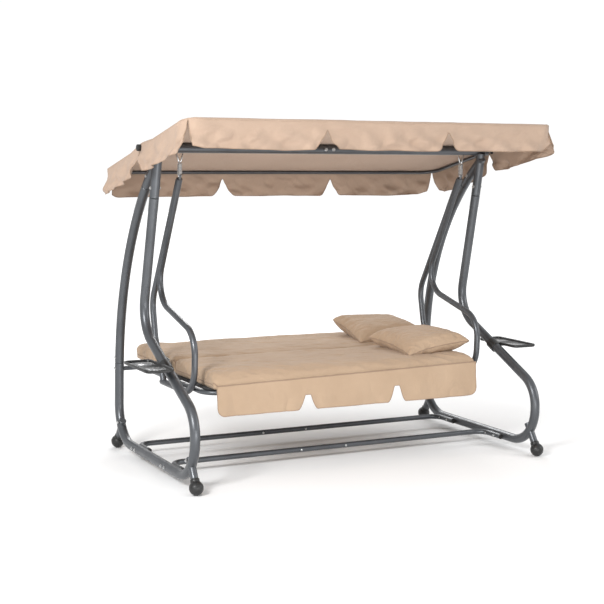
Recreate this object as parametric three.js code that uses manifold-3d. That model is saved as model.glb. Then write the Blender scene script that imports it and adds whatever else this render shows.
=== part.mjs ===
// Canopy swing bench shown as a flat bed: a tubular side frame at each end, a beam between
// their tops, a hung bench with a folding backrest, and a tilting cloth canopy.
// Millimetres, +Z up, +X along the beam to the right as seen from the front, front of the bench at -Y.
import * as THREE from 'three';
import { mergeVertices } from 'three/addons/utils/BufferGeometryUtils.js';
import Module from 'manifold-3d';

const wasm = await Module();
wasm.setup();

// ---------------------------------------------------------------- driving dimensions
const fit = 0.3;                    // working gap between parts that touch
const seamGap = 1.2;                // gap at the seams where curved tubes meet
const mainTube = 24;                // radius of the side frame and beam tubes
const hangerTube = 16;              // radius of the tubes that carry the bench
const crossTube = 14;               // radius of the two floor tubes
const benchTube = 12.5;             // radius of the seat and backrest frames
const canopyTube = 9;               // radius of the canopy frame
const centreY = -136.75;            // moves the beam plane so the whole object is centred on Y

const beamZ = 1595;                 // height of the beam's axis
const beamHalf = 992;               // half length of the beam
const sideX = 951;                  // side frame plane at height sideZ, leaning in towards the top
const sideZ = 773;
const sideLean = -0.0145;
const hangerX = 820;                // plane of the bench's hanger tubes
const railZ = 55;                   // height of the bottom rail's axis
const footReach = 563;              // foot ball centres, in front of and behind the frame middle
const frameMidY = 3;                // middle of the side frame, from the beam plane
const elbowY = 541;                 // outermost vertical line of the side frame, from its middle
const ballRadius = 34.5;

const benchFrameZ = 414;            // axis height of the seat and backrest frames
const benchFrameX = 790;
const pivotY = 285;                 // backrest hinge
const pivotZ = 500;
const seatFrontY = -270;
const slingBottom = benchFrameZ + benchTube + fit;
const slingThick = 2.4;
const cushionBottom = slingBottom + slingThick + fit;
const cushionTop = 508;
const cushionHalf = 746;
const cushionFrontY = -292;
const cushionBackY = 868;
const foldY = 269;                  // the crease between the seat and back cushions

const canopyHalf = 1010;            // canopy frame, to the axis of its side arms
const canopyFrontY = -566;
const canopyRearY = 588;
const canopySlope = -0.216;
const canopyCorner = 90;
const valanceDrop = 134;

// ---------------------------------------------------------------- materials
const finishes = {
  painted_tube: { colour: [0.44, 0.45, 0.46], roughness: 0.38, metalness: 0.55 },
  zinc: { colour: [0.72, 0.73, 0.74], roughness: 0.3, metalness: 1.0 },
  black_plastic: { colour: [0.04, 0.04, 0.045], roughness: 0.45, metalness: 0.0 },
  tray_top: { colour: [0.62, 0.63, 0.64], roughness: 0.25, metalness: 0.1 },
  canvas: { colour: [0.80, 0.66, 0.55], roughness: 0.85, metalness: 0.0 },
  cushion_fabric: { colour: [0.78, 0.63, 0.50], roughness: 0.9, metalness: 0.0 },
  sling_fabric: { colour: [0.08, 0.08, 0.085], roughness: 0.8, metalness: 0.0 },
};

const root = new THREE.Group();
root.name = 'canopy_swing_bench';

function add(name, solid, material) {
  const moved = solid.translate([0, centreY, 0]);
  const out = moved.getMesh();
  const geometry = new THREE.BufferGeometry();
  geometry.setAttribute('position', new THREE.BufferAttribute(new Float32Array(out.vertProperties), 3));
  geometry.setIndex(new THREE.BufferAttribute(new Uint32Array(out.triVerts), 1));
  const { colour, roughness, metalness } = finishes[material];
  const surface = new THREE.MeshStandardMaterial({ name: material, roughness, metalness });
  surface.color.setRGB(...colour, THREE.SRGBColorSpace);
  const mesh = new THREE.Mesh(geometry, surface);
  mesh.name = name;
  root.add(mesh);
}

// ---------------------------------------------------------------- solid builders
function toSolid(geometry) {
  const plain = geometry.clone();
  plain.deleteAttribute('normal');
  plain.deleteAttribute('uv');
  const welded = mergeVertices(plain, 1e-4);
  const mesh = new wasm.Mesh({
    numProp: 3,
    vertProperties: new Float32Array(welded.attributes.position.array),
    triVerts: new Uint32Array(welded.index.array),
  });
  return new wasm.Manifold(mesh);
}

// A path with straight runs and rounded bends. Each corner is [point, bend radius].
function roundedPath(corners, degreesPerStep = 15) {
  const path = [];
  corners.forEach(([point, radius], i) => {
    if (!radius || i === 0 || i === corners.length - 1) {
      path.push(point.clone());
      return;
    }
    const inward = point.clone().sub(corners[i - 1][0]).normalize();
    const onward = corners[i + 1][0].clone().sub(point).normalize();
    const turn = inward.angleTo(onward);
    const reach = radius * Math.tan(turn / 2);
    const axis = inward.clone().cross(onward).normalize();
    const start = point.clone().addScaledVector(inward, -reach);
    const centre = start.clone().addScaledVector(axis.clone().cross(inward), radius);
    const steps = Math.max(2, Math.round(THREE.MathUtils.radToDeg(turn) / degreesPerStep));
    for (let s = 0; s <= steps; s += 1) {
      const spoke = start.clone().sub(centre).applyAxisAngle(axis, turn * s / steps);
      path.push(centre.clone().add(spoke));
    }
  });
  return path;
}

// A round bar swept along a path that lies in one plane. closed joins the last point to the first.
function sweep(path, radius, { sides = 10, closed = false } = {}) {
  const count = path.length;
  const tangentAt = (i) => {
    const before = closed ? path[(i + count - 1) % count] : path[Math.max(i - 1, 0)];
    const after = closed ? path[(i + 1) % count] : path[Math.min(i + 1, count - 1)];
    const arrive = path[i].clone().sub(before).normalize();
    const leave = after.clone().sub(path[i]).normalize();
    return arrive.add(leave).normalize();
  };
  const flat = new THREE.Vector3();
  for (let i = 1; i < count - 1 && flat.length() < 1e-3; i += 1) {
    const a = path[i].clone().sub(path[i - 1]).normalize();
    const b = path[i + 1].clone().sub(path[i]).normalize();
    flat.crossVectors(a, b);
  }
  if (flat.length() < 1e-3) {
    const run = path[count - 1].clone().sub(path[0]).normalize();
    const other = Math.abs(run.z) < 0.9 ? new THREE.Vector3(0, 0, 1) : new THREE.Vector3(1, 0, 0);
    flat.crossVectors(run, other);
  }
  flat.normalize();
  const points = [];
  const faces = [];
  for (let i = 0; i < count; i += 1) {
    const side = flat.clone().cross(tangentAt(i)).normalize();
    for (let k = 0; k < sides; k += 1) {
      const angle = 2 * Math.PI * (k + 0.5) / sides;
      const p = path[i].clone();
      p.addScaledVector(side, radius * Math.cos(angle));
      p.addScaledVector(flat, radius * Math.sin(angle));
      points.push(p.x, p.y, p.z);
    }
  }
  const rings = closed ? count : count - 1;
  for (let i = 0; i < rings; i += 1) {
    const next = (i + 1) % count;
    for (let k = 0; k < sides; k += 1) {
      const k2 = (k + 1) % sides;
      const a = i * sides + k;
      const b = i * sides + k2;
      const c = next * sides + k;
      const d = next * sides + k2;
      faces.push(a, d, b, a, c, d);
    }
  }
  if (!closed) {
    for (let k = 1; k < sides - 1; k += 1) {
      faces.push(0, k, k + 1);
      const last = (count - 1) * sides;
      faces.push(last, last + k + 1, last + k);
    }
  }
  let solid = new wasm.Manifold(new wasm.Mesh({
    numProp: 3,
    vertProperties: new Float32Array(points),
    triVerts: new Uint32Array(faces),
  }));
  if (solid.volume() < 0) {
    for (let f = 0; f < faces.length; f += 3) {
      [faces[f], faces[f + 1]] = [faces[f + 1], faces[f]];
    }
    solid = new wasm.Manifold(new wasm.Mesh({
      numProp: 3,
      vertProperties: new Float32Array(points),
      triVerts: new Uint32Array(faces),
    }));
  }
  return solid;
}

const bar = (from, to, radius, sides = 10) => sweep([from, to], radius, { sides });
const v = (x, y, z) => new THREE.Vector3(x, y, z);
const block = (width, depth, height) => toSolid(new THREE.BoxGeometry(width, depth, height));
const ballSolid = (radius, sides) => toSolid(new THREE.SphereGeometry(radius, sides, sides / 2));
const largest = (solid) => solid.decompose().sort((a, b) => b.volume() - a.volume())[0];

// Flat outline drawn on XY, thickened upwards.
function plate(outline, thick) {
  return toSolid(new THREE.ExtrudeGeometry(outline, { depth: thick, bevelEnabled: false, curveSegments: 6 }));
}

function roundedRect(x0, y0, x1, y1, r) {
  const s = new THREE.Shape();
  s.moveTo(x0 + r, y0);
  s.lineTo(x1 - r, y0);
  s.absarc(x1 - r, y0 + r, r, -Math.PI / 2, 0);
  s.lineTo(x1, y1 - r);
  s.absarc(x1 - r, y1 - r, r, 0, Math.PI / 2);
  s.lineTo(x0 + r, y1);
  s.absarc(x0 + r, y1 - r, r, Math.PI / 2, Math.PI);
  s.lineTo(x0, y0 + r);
  s.absarc(x0 + r, y0 + r, r, Math.PI, 1.5 * Math.PI);
  return s;
}

// A point on the leaning side frame plane of one side (sign -1 left, +1 right).
const onSide = (sign, y, z) => v(sign * (sideX + sideLean * (z - sideZ)), y, z);

// ---------------------------------------------------------------- side frames
const legTopZ = 1352;
const legLine = 0.2434;             // forward lean of the straight upper leg, per unit height
const legTopY = 31.5;
const legY = (z) => legTopY + legLine * (legTopZ - z);
const rearArcRadius = 1369;
const rearArcZ = 437;               // height where the rear arc becomes vertical
const rearY = frameMidY + elbowY;
const rearArcY = (z) => rearY - rearArcRadius + Math.sqrt(rearArcRadius ** 2 - (z - rearArcZ) ** 2);
const rearJointZ = 462;
const rearSeamZ = 1405;
const frontSeamY = -178;
const rearSeamY = 250;
const footSpring = 136;             // height where the foot tubes leave the elbows

function frontLegPath(sign) {
  return roundedPath([
    [onSide(sign, legTopY, legTopZ - fit), 0],
    [onSide(sign, legY(702), 702), 183],
    [onSide(sign, frameMidY - elbowY - 2, 363), 160],
    [onSide(sign, frameMidY - elbowY, railZ), 194],
    [onSide(sign, frontSeamY - fit, railZ), 0],
  ]);
}

function rearLowerPath(sign) {
  return roundedPath([
    [onSide(sign, rearSeamY + fit, railZ), 0],
    [onSide(sign, rearY, railZ), 194],
    [onSide(sign, rearY, rearJointZ - fit), 0],
  ]);
}

function rearArcPath(sign, lowZ, highZ, steps) {
  const path = [];
  for (let s = 0; s <= steps; s += 1) {
    const z = lowZ + (highZ - lowZ) * s / steps;
    path.push(onSide(sign, rearArcY(z), z));
  }
  return path;
}

for (const sign of [-1, 1]) {
  const end = sign < 0 ? 'left' : 'right';
  const frontLeg = sweep(frontLegPath(sign), mainTube);
  const rearLower = sweep(rearLowerPath(sign), mainTube);
  const rearUpper = sweep(rearArcPath(sign, rearJointZ + seamGap, rearSeamZ - seamGap, 9), mainTube);
  add(`leg_front_${end}`, frontLeg, 'painted_tube');
  add(`leg_rear_lower_${end}`, rearLower, 'painted_tube');
  add(`leg_rear_upper_${end}`, rearUpper, 'painted_tube');
  const railFront = onSide(sign, frontSeamY + fit, railZ);
  const railRear = onSide(sign, rearSeamY - fit, railZ);
  const railMiddle = bar(railFront, railRear, mainTube);
  add(`rail_middle_${end}`, railMiddle, 'painted_tube');

  // The apex: two stub tubes welded into an upside-down V under the beam.
  const frontStub = bar(
    onSide(sign, legTopY, legTopZ + seamGap), onSide(sign, legY(beamZ - 4) + 6, beamZ - 4), mainTube);
  const rearStubPath = rearArcPath(sign, rearSeamZ + seamGap, 1545, 3);
  rearStubPath.push(onSide(sign, 4, beamZ - 8));
  const rearStub = sweep(rearStubPath, mainTube);
  const beamRoom = bar(v(-1200, 0, beamZ), v(1200, 0, beamZ), mainTube + fit, 28);
  const slab = block(400, 200, 200).translate([sign * sideX, 0, beamZ + 100]);
  add(`apex_bracket_${end}`, frontStub.add(rearStub).subtract(slab).subtract(beamRoom), 'painted_tube');

  // Ball feet on short tubes that leave the two elbows.
  for (const [place, dir, legSolid] of [['front', -1, frontLeg], ['rear', 1, rearLower]]) {
    const root0 = onSide(sign, frameMidY + dir * (footReach - 82), footSpring + 26);
    const tip = onSide(sign, frameMidY + dir * footReach, ballRadius);
    const down = tip.clone().sub(root0).normalize();
    const tubeEnd = tip.clone().addScaledVector(down, -ballRadius + 6);
    let tube = bar(root0, tubeEnd, 19);
    const legRoom = place === 'front'
      ? sweep(frontLegPath(sign), mainTube + fit)
      : sweep(rearLowerPath(sign), mainTube + fit);
    tube = tube.subtract(legRoom);
    const bodies = tube.decompose();
    bodies.sort((a, b) => b.volume() - a.volume());
    const lowest = bodies.filter((s) => s.boundingBox().min[2] < 60)[0];
    const ball = ballSolid(ballRadius, 16).translate([tip.x, tip.y, tip.z]);
    const socketTop = tip.clone().addScaledVector(down, -80);
    const socketFloor = tubeEnd.clone().addScaledVector(down, fit);
    const socket = bar(socketTop, socketFloor, 19 + fit);
    const flatFloor = block(200, 200, 50).translate([tip.x, tip.y, 1 - 25]);
    add(`foot_tube_${place}_${end}`, lowest, 'painted_tube');
    const foot = ball.subtract(socket).subtract(flatFloor).translate([0, 0, -1]);
    add(`foot_ball_${place}_${end}`, foot, 'black_plastic');
  }

  // Short steady bar from the rear leg towards the bed's side rail.
  const stayZ = 431;
  const stayOuter = bar(v(sign * 960, rearY, stayZ), v(sign * 806, rearY, stayZ), 12);
  const legRoom = sweep(rearLowerPath(sign), mainTube + fit);
  add(`stay_bar_${end}`, largest(stayOuter.subtract(legRoom)), 'painted_tube');
}

// ---------------------------------------------------------------- beam and floor tubes
add('beam_left', bar(v(-beamHalf, 0, beamZ), v(-fit, 0, beamZ), mainTube, 16), 'painted_tube');
add('beam_right', bar(v(fit, 0, beamZ), v(beamHalf, 0, beamZ), mainTube, 16), 'painted_tube');

const railInner = sideX + sideLean * (railZ - sideZ) - mainTube;
const crossSeamX = -34;
for (const [place, y] of [['front', -114], ['rear', 356]]) {
  for (const sign of [-1, 1]) {
    const end = sign < 0 ? 'left' : 'right';
    const alongRail = railInner - crossTube - 0.6;
    const path = roundedPath([
      [v(crossSeamX + sign * fit, y, railZ), 0],
      [v(sign * alongRail, y, railZ), 70],
      [v(sign * alongRail, y - 170, railZ), 0],
    ], 15);
    add(`cross_tube_${place}_${end}`, sweep(path, crossTube, { sides: 8 }), 'painted_tube');
  }
}

// ---------------------------------------------------------------- side trays
const trayZ = 541;
for (const sign of [-1, 1]) {
  const end = sign < 0 ? 'left' : 'right';
  const inX = sign * 972;
  const outX = sign * 1116;
  const outline = roundedRect(Math.min(inX, outX), -330, Math.max(inX, outX), 20, 28);
  const dish = roundedRect(Math.min(inX, outX) + 9, -321, Math.max(inX, outX) - 9, 11, 20);
  const legRoom = sweep(frontLegPath(sign), mainTube + fit);
  const rim = plate(outline, 16).subtract(plate(dish, 16).translate([0, 0, 5]));
  add(`tray_${end}`, rim.translate([0, 0, trayZ]).subtract(legRoom), 'black_plastic');
  const inlay = plate(dish, 2).scale([0.985, 0.985, 1]);
  const box = inlay.boundingBox();
  const mid = [(box.min[0] + box.max[0]) / 2, (box.min[1] + box.max[1]) / 2];
  const inlayMoved = inlay.translate([sign * 1044 - mid[0], -155 - mid[1], trayZ + 5 + fit]);
  add(`tray_inlay_${end}`, inlayMoved.subtract(legRoom), 'tray_top');
  const clampY = -150;
  const clampZ = trayZ + 3;
  const along = v(0, 0.906, 0.423);
  const middle = onSide(sign, clampY, clampZ);
  const clampFrom = middle.clone().addScaledVector(along, -30);
  const clampTo = middle.clone().addScaledVector(along, 26);
  const clamp = bar(clampFrom, clampTo, mainTube + 5, 18).subtract(legRoom);
  const trayRoom = plate(outline, 16 + 2 * fit).translate([0, 0, trayZ - fit]);
  add(`tray_clamp_${end}`, largest(clamp.subtract(trayRoom)), 'black_plastic');
}

// ---------------------------------------------------------------- links and hangers
const hookZ = beamZ - mainTube - 8;
const eyeZ = 1455;
const hangerPath = (sign, extra = 0) => roundedPath([
  [v(sign * hangerX, 4, 1446), 0],
  [v(sign * hangerX, 352, 832), 135],
  [v(sign * hangerX, -197, 694), 135],
  [v(sign * hangerX, -185, 396), 135],
  [v(sign * hangerX, 262 + extra, 396), 0],
]);
for (const sign of [-1, 1]) {
  const end = sign < 0 ? 'left' : 'right';
  const x = sign * hangerX;
  const front = sweep(hangerPath(sign), hangerTube);
  const eye = bar(v(x, 3, 1440), v(x, 0, eyeZ + 6), 9, 10);
  add(`hanger_front_${end}`, front.add(eye), 'painted_tube');
  const rearPath = roundedPath([
    [v(x, 18, 1440), 0],
    [v(x, 402, 800), 150],
    [v(x, 358, 610), 120],
    [v(x, 236, 392), 0],
  ]);
  const room = sweep(hangerPath(sign), hangerTube + fit);
  add(`hanger_rear_${end}`, largest(sweep(rearPath, hangerTube).subtract(room)), 'painted_tube');

  // Flat eye on top of the hanger, spring between two end plates, and a wire V over the beam bolt.
  add(`link_spring_${end}`, bar(v(x, 0, eyeZ + 7.5), v(x, 0, eyeZ + 66), 13, 14), 'zinc');
  const hook = sweep(roundedPath([
    [v(x - 17, 0, hookZ + 6), 0],
    [v(x - 3, 0, eyeZ + 71), 0],
    [v(x + 3, 0, eyeZ + 71), 0],
    [v(x + 17, 0, hookZ + 6), 0],
  ]), 3.5, { sides: 8 });
  add(`link_hook_${end}`, hook, 'zinc');
}

// ---------------------------------------------------------------- bench frames
const frameBend = 100;
const seatRearY = 226;
const seatPath = roundedPath([
  [v(-benchFrameX, seatRearY - 14, benchFrameZ), 0],
  [v(-benchFrameX, seatFrontY, benchFrameZ), frameBend],
  [v(benchFrameX, seatFrontY, benchFrameZ), frameBend],
  [v(benchFrameX, seatRearY - 14, benchFrameZ), 0],
], 15);
const acrossBench = (y) => bar(v(-benchFrameX, y, benchFrameZ), v(benchFrameX, y, benchFrameZ), benchTube, 8);
const seatRear = acrossBench(seatRearY);
let seatFrame = sweep(seatPath, benchTube, { sides: 8 }).add(seatRear);
for (const part of [-0.36, 0, 0.36]) {
  const x = part * 2 * benchFrameX;
  const strut = bar(v(x, seatFrontY, benchFrameZ - 2), v(x, seatRearY, benchFrameZ - 2), 8, 8);
  seatFrame = seatFrame.add(strut);
}
add('seat_frame', seatFrame, 'painted_tube');

const backBend = 190;
const backRearY = 806;
const backStartY = 304;
const backPath = roundedPath([
  [v(-benchFrameX, backStartY, benchFrameZ), 0],
  [v(-benchFrameX, backRearY, benchFrameZ), backBend],
  [v(benchFrameX, backRearY, benchFrameZ), backBend],
  [v(benchFrameX, backStartY, benchFrameZ), 0],
], 15);
const backCross = acrossBench(backStartY + 14);
let backFrame = sweep(backPath, benchTube, { sides: 8 }).add(backCross);
for (const part of [-0.3, 0, 0.3]) {
  const x = part * 2 * benchFrameX;
  const strut = bar(v(x, backStartY + 14, benchFrameZ - 2), v(x, backRearY, benchFrameZ - 2), 8, 8);
  backFrame = backFrame.add(strut);
}
const slingHalf = benchFrameX - 6;
const seatSling = plate(roundedRect(-slingHalf, seatFrontY - 4, slingHalf, seatRearY + 6, 60), slingThick);
add('seat_sling', seatSling.translate([0, 0, slingBottom]), 'sling_fabric');
const slingInX = slingHalf - 14;
const backSling = plate(roundedRect(-slingInX, backStartY + 4, slingInX, backRearY + 4, 150), slingThick);
add('back_sling', backSling.translate([0, 0, slingBottom]), 'sling_fabric');

// Cushions are soft; here they are plain blocks with rounded plan corners.
const thick = cushionTop - cushionBottom;
const seatPad = plate(roundedRect(-cushionHalf, cushionFrontY, cushionHalf, foldY - 3, 26), thick);
const backPad = plate(roundedRect(-cushionHalf, foldY + 3, cushionHalf, cushionBackY, 26), thick);
add('seat_cushion', seatPad.translate([0, 0, cushionBottom]), 'cushion_fabric');
add('back_cushion', backPad.translate([0, 0, cushionBottom]), 'cushion_fabric');

// The skirt sewn along the front of the seat cushion, in three lobes.
const skirtTop = 450;
const skirtDrop = 148;
const lobes = new THREE.Shape();
lobes.moveTo(-cushionHalf, skirtTop);
lobes.lineTo(-cushionHalf + 4, skirtTop - skirtDrop + 30);
lobes.quadraticCurveTo(-cushionHalf + 6, skirtTop - skirtDrop, -cushionHalf + 40, skirtTop - skirtDrop);
for (const notchX of [-257, 257]) {
  lobes.lineTo(notchX - 74, skirtTop - skirtDrop);
  lobes.quadraticCurveTo(notchX - 42, skirtTop - skirtDrop, notchX - 28, skirtTop - skirtDrop + 46);
  lobes.quadraticCurveTo(notchX, skirtTop - skirtDrop + 116, notchX + 28, skirtTop - skirtDrop + 46);
  lobes.quadraticCurveTo(notchX + 42, skirtTop - skirtDrop, notchX + 74, skirtTop - skirtDrop);
}
lobes.lineTo(cushionHalf - 40, skirtTop - skirtDrop);
lobes.quadraticCurveTo(cushionHalf - 6, skirtTop - skirtDrop, cushionHalf - 4, skirtTop - skirtDrop + 30);
lobes.lineTo(cushionHalf, skirtTop);
lobes.closePath();
const skirt = plate(lobes, 3).rotate([90, 0, 0]);
add('seat_skirt', skirt.translate([0, cushionFrontY - fit, 0]), 'cushion_fabric');

add('back_frame', backFrame, 'painted_tube');

// Ears standing on the backrest frame, and the hinge pins from the hangers through them.
const earPlate = 5;
const earRadius = 16;
const pinRadius = 5;
const earFoot = benchFrameZ + benchTube + fit;
for (const sign of [-1, 1]) {
  const end = sign < 0 ? 'left' : 'right';
  const outline = new THREE.Shape();
  outline.moveTo(backStartY + 36, earFoot);
  outline.lineTo(pivotY + earRadius, pivotZ);
  outline.absarc(pivotY, pivotZ, earRadius, 0, Math.PI);
  outline.lineTo(backStartY - 4, earFoot);
  outline.closePath();
  const flat = plate(outline, earPlate).rotate([90, 0, 0]).rotate([0, 0, 90]);
  const ear = flat.translate([sign * (benchFrameX - 6) - earPlate / 2, 0, 0]);
  const hole = bar(v(sign * 700, pivotY, pivotZ), v(sign * 850, pivotY, pivotZ), pinRadius + fit, 10);
  add(`hinge_ear_${end}`, ear.subtract(hole), 'painted_tube');
  const inner = v(sign * (benchFrameX - 14.5), pivotY, pivotZ);
  const outer = v(sign * (hangerX - hangerTube - fit), pivotY, pivotZ);
  add(`backrest_pin_${end}`, bar(inner, outer, pinRadius, 10), 'zinc');
}

// Loose pillows: one on the back cushion, one on the seat cushion.
function pillow(name, x, y, z, size, height, turnDegrees, tiltDegrees) {
  const half = size / 2;
  const outline = new THREE.Shape();
  const pull = 22;
  outline.moveTo(-half, -half);
  outline.quadraticCurveTo(0, -half + pull, half, -half);
  outline.quadraticCurveTo(half - pull, 0, half, half);
  outline.quadraticCurveTo(0, half - pull, -half, half);
  outline.quadraticCurveTo(-half + pull, 0, -half, -half);
  const slab = plate(outline, height).translate([0, 0, -height / 2]);
  const puff = ballSolid(1, 24).scale([size * 0.78, size * 0.78, height / 2]);
  const solid = slab.intersect(puff).rotate([tiltDegrees, 0, 0]).rotate([0, 0, turnDegrees]);
  add(name, solid.translate([x, y, z]), 'cushion_fabric');
}
const pillowSize = 410;
const pillowHeight = 116;
pillow('pillow_front', 574, 10, cushionTop + fit + pillowHeight / 2, pillowSize, pillowHeight, 4, 0);
pillow('pillow_rear', 600, 512, cushionTop + fit + pillowHeight / 2, pillowSize, pillowHeight, -4, 0);

// ---------------------------------------------------------------- canopy
const canopyZ = (y) => beamZ + 1 + canopySlope * y;
const corner = (x, y) => v(x, y, canopyZ(y));
const loop = roundedPath([
  [corner(0, canopyFrontY), 0],
  [corner(canopyHalf, canopyFrontY), canopyCorner],
  [corner(canopyHalf, canopyRearY), canopyCorner],
  [corner(-canopyHalf, canopyRearY), canopyCorner],
  [corner(-canopyHalf, canopyFrontY), canopyCorner],
  [corner(0, canopyFrontY), 0],
], 15);
loop.pop();
const boltRoom = bar(v(-1200, 0, beamZ), v(1200, 0, beamZ), 5 + fit, 12);
add('canopy_frame', sweep(loop, canopyTube, { sides: 8, closed: true }).subtract(boltRoom), 'painted_tube');

const clothOver = 3;                // how far the cloth stands outside the frame tube
const clothThick = 3;
const ridgeZ = beamZ + mainTube + 2;
function canopyBlock(grow, topLift, drop) {
  const x = canopyHalf + canopyTube + grow;
  const y0 = canopyFrontY - canopyTube - grow;
  const y1 = canopyRearY + canopyTube + grow;
  const frontTop = canopyZ(y0) + canopyTube + 1 + topLift;
  const rearTop = canopyZ(y1) + canopyTube + 1 + topLift;
  const side = new THREE.Shape();
  side.moveTo(y0, frontTop);
  side.lineTo(y0, frontTop - drop);
  side.lineTo(y1, rearTop - drop);
  side.lineTo(y1, rearTop);
  side.lineTo(0, ridgeZ + topLift);
  side.closePath();
  const long = plate(side, 2 * x).rotate([90, 0, 0]).rotate([0, 0, 90]).translate([-x, 0, 0]);
  const plan = plate(roundedRect(-x, y0, x, y1, canopyCorner + canopyTube + grow), 1000);
  return long.intersect(plan.translate([0, 0, 1200]));
}
let cloth = canopyBlock(clothOver + clothThick, clothThick, valanceDrop + clothThick);
cloth = cloth.subtract(canopyBlock(clothOver, 0, valanceDrop + 60));
function notch(x, y, width, alongY, topZ) {
  const wedge = new THREE.Shape();
  wedge.moveTo(-7, 0);
  wedge.lineTo(7, 0);
  wedge.lineTo(width / 2, -200);
  wedge.lineTo(-width / 2, -200);
  wedge.closePath();
  let solid = plate(wedge, 60).translate([0, 0, -30]).rotate([90, 0, 0]);
  if (alongY) {
    solid = solid.rotate([0, 0, 90]);
  }
  return solid.translate([x, y, topZ]);
}
const rimX = canopyHalf + canopyTube + clothOver;
for (const x of [-335, 335]) {
  cloth = cloth.subtract(notch(x, canopyFrontY - 14, 150, false, canopyZ(canopyFrontY) - 38));
  cloth = cloth.subtract(notch(x, canopyRearY + 14, 150, false, canopyZ(canopyRearY) - 20));
}
for (const sign of [-1, 1]) {
  cloth = cloth.subtract(notch(sign * rimX, 12, 190, true, beamZ - 26));
  const knobRoom = block(80, 56, 66).translate([sign * rimX, 0, beamZ - 12]);
  cloth = cloth.subtract(knobRoom);
}
add('canopy_cloth', cloth, 'canvas');

for (const sign of [-1, 1]) {
  const end = sign < 0 ? 'left' : 'right';
  const x = (d) => sign * (beamHalf + d);
  const stem = bar(v(x(fit), 0, beamZ), v(x(33), 0, beamZ), 5, 12);
  const grip = bar(v(x(29), 0, beamZ), v(x(50), 0, beamZ), 17, 12);
  add(`tilt_knob_${end}`, stem.add(grip), 'black_plastic');
}

// Bolts through the joint in the middle of the beam.
for (const sign of [-1, 1]) {
  const end = sign < 0 ? 'left' : 'right';
  const front = -mainTube - fit;
  add(`beam_bolt_${end}`, bar(v(sign * 22, front, beamZ), v(sign * 22, front - 4.5, beamZ), 6.5, 6), 'zinc');
}

export default root;
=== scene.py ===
"""Looks of the canopy swing bench: fine tubes, moulded parts, sewn cushions and the canopy cloth,
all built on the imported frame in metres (+Z up, front of the bench at -Y)."""
import math

import bmesh
import bpy
import numpy as np
from mathutils import Matrix, Vector, noise


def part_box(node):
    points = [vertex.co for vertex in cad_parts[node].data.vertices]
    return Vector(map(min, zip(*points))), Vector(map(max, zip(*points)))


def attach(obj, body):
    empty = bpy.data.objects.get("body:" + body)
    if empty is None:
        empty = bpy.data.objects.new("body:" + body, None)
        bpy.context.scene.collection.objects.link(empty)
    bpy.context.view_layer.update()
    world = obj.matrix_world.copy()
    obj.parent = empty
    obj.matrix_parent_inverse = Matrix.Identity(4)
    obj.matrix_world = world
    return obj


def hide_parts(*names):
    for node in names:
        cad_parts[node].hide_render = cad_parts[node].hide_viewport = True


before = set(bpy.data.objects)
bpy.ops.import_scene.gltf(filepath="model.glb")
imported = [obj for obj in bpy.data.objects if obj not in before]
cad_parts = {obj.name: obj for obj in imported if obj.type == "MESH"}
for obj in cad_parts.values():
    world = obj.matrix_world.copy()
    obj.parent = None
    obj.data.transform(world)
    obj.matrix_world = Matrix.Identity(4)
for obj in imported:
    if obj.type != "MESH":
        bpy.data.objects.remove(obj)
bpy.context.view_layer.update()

# ---- sizes worked out from the frame


def span(name):
    """Low and high corners of a CAD node."""
    low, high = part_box(name)
    return Vector(low), Vector(high)


beam_low, beam_high = span("beam_right")
BEAM_Y = (beam_low.y + beam_high.y) / 2
BEAM_Z = (beam_low.z + beam_high.z) / 2
BEAM_HALF = beam_high.x
# Radii of the main, hanger, floor, bench and canopy tubes.
TUBE = 0.024
HANGER_TUBE = 0.016
CROSS_TUBE = 0.014
BENCH_TUBE = 0.0125
CANOPY_TUBE = 0.009
# A side frame is SIDE_X from the middle at height SIDE_Z, and leans inward by SIDE_LEAN per metre of rise.
SIDE_LEAN = -0.0145
SIDE_X = 0.951
SIDE_Z = 0.773
SIDES = ((-1, "left"), (1, "right"))
rail_low, rail_high = span("rail_middle_right")
RAIL_Z = (rail_low.z + rail_high.z) / 2
FRONT_SEAM = rail_low.y
REAR_SEAM = rail_high.y
hanger_low, hanger_high = span("hanger_front_right")
HANGER_X = (hanger_low.x + hanger_high.x) / 2


def side_point(sign, y, z):
    """A point of one leaning side frame, y counted from the beam."""
    return Vector((sign * (SIDE_X + SIDE_LEAN * (z - SIDE_Z)), BEAM_Y + y, z))


# ---- materials
def material(name):
    """A new material, its Principled shader, and functions that add a node and link two sockets."""
    mat = bpy.data.materials.new(name)
    mat.use_nodes = True
    tree = mat.node_tree

    def add(kind, **values):
        node = tree.nodes.new(kind)
        for key, value in values.items():
            if key in node.inputs:
                node.inputs[key].default_value = value
            else:
                setattr(node, key, value)
        return node

    return mat, tree.nodes["Principled BSDF"], add, tree.links.new


def grey(value):
    return (value, value, value)


def noise_ramp(add, link, scale, low, high, detail=6.0):
    """Noise spread between two colours: the colour socket, and the plain noise socket."""
    where = add("ShaderNodeTexCoord")
    grain = add("ShaderNodeTexNoise", Scale=scale, Detail=detail, Roughness=0.6)
    link(where.outputs["Object"], grain.inputs["Vector"])
    ramp = add("ShaderNodeValToRGB")
    for element, position, colour in zip(ramp.color_ramp.elements, (0.3, 0.7), (low, high)):
        element.position = position
        element.color = (*colour, 1)
    link(grain.outputs["Fac"], ramp.inputs["Fac"])
    return ramp.outputs["Color"], grain.outputs["Fac"]


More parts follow.
